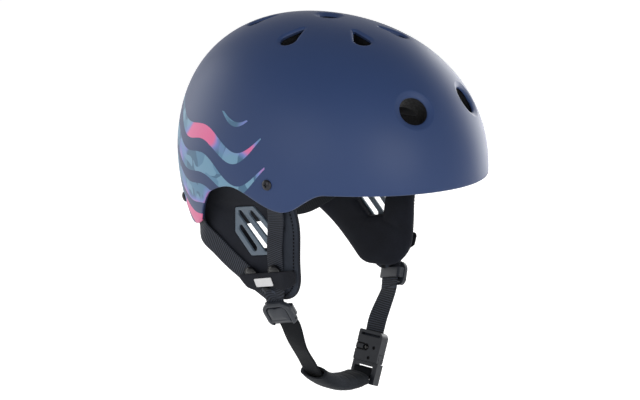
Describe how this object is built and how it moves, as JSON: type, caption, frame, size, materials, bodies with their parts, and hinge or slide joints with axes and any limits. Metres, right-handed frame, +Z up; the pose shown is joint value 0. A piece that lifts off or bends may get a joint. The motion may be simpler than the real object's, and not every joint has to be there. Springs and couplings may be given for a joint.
{
  "type": "water sports helmet",
  "caption": "Water sports helmet: vented hard shell, foam lining, padded ear covers, webbing harness with flip-lever dividers, padded chin strap and a sliding magnetic buckle.",
  "frame": {"origin": "middle of the head opening, level with the front brim", "axes": "front is -Y, up is +Z, the wearer's left is +X"},
  "size_m": [0.224, 0.2902, 0.3325],
  "materials": {
    "shell_navy": "matt navy moulded plastic with a printed band of ripples",
    "liner_foam": "black moulded foam",
    "pad_cloth": "black cloth over soft foam",
    "plate_slate": "slate grey moulded plastic",
    "keeper_cloth": "black woven cloth",
    "guide_rubber": "glossy black rubber",
    "label_white": "bare white woven label",
    "nape_cloth": "dark grey cloth band",
    "webbing_ribbed": "ribbed dark grey webbing",
    "webbing_smooth": "smooth black webbing",
    "fastener_steel": "blackened steel",
    "magnet_nickel": "nickel plated",
    "hardware_graphite": "satin graphite moulded plastic"
  },
  "bodies": {
    "helmet": {"outer_shell": "shell_navy", "liner_front": "liner_foam", "liner_rear_right": "liner_foam", "liner_rear_left": "liner_foam", "liner_right": "liner_foam", "liner_left": "liner_foam", "liner_crown": "liner_foam", "crown_pad": "pad_cloth", "front_pad": "pad_cloth", "rear_pad": "pad_cloth", "side_pad_right": "pad_cloth", "side_pad_left": "pad_cloth", "ear_pad_right": "pad_cloth", "ear_pad_left": "pad_cloth", "ear_plate_right": "plate_slate", "ear_plate_left": "plate_slate", "front_strap_right": "webbing_ribbed", "front_strap_left": "webbing_ribbed", "rear_strap_right": "webbing_ribbed", "rear_strap_left": "webbing_ribbed", "strap_keeper_right": "keeper_cloth", "strap_keeper_left": "keeper_cloth", "strap_guides_right": "guide_rubber", "strap_guides_left": "guide_rubber", "keeper_label": "label_white", "temple_screws": "fastener_steel", "rear_screws": "fastener_steel", "temple_nuts": "fastener_steel", "rear_nuts": "fastener_steel", "nape_band": "nape_cloth", "divider_frame_right": "hardware_graphite", "divider_frame_left": "hardware_graphite", "divider_pin_right": "fastener_steel", "divider_pin_left": "fastener_steel", "chin_strap_upper": "webbing_smooth", "drop_strap": "webbing_ribbed", "buckle_socket": "hardware_graphite", "socket_magnet": "magnet_nickel", "buckle_screws": "fastener_steel"},
    "lever_right": {"divider_lever_right": "hardware_graphite"},
    "lever_left": {"divider_lever_left": "hardware_graphite"},
    "tongue": {"buckle_tongue": "hardware_graphite", "tongue_magnet": "magnet_nickel", "chin_strap_lower": "webbing_smooth"},
    "chin_sleeve": {"chin_pad": "pad_cloth"}
  },
  "joints": [
    {"name": "lever_right_flip", "type": "hinge", "parent": "helmet", "child": "lever_right", "pos_m": [-0.07421, -0.01047, -0.1177], "axis": [0.1231, -0.9638, 0.2364], "range_deg": [0, 100]},
    {"name": "lever_left_flip", "type": "hinge", "parent": "helmet", "child": "lever_left", "pos_m": [0.07421, -0.01047, -0.1177], "axis": [0.1231, 0.9638, -0.2364], "range_deg": [0, 100]},
    {"name": "buckle_slide", "type": "slide", "parent": "helmet", "child": "tongue", "axis": [0, -1, 0], "range_m": [0, 0.024], "deforming": ["chin_strap_upper"]},
    {"name": "chin_pad_shift", "type": "hinge", "parent": "tongue", "child": "chin_sleeve", "pos_m": [0.0165, -0.0095, -0.1197], "axis": [0, 1, 0], "range_deg": [0, 7.5]}
  ]
}
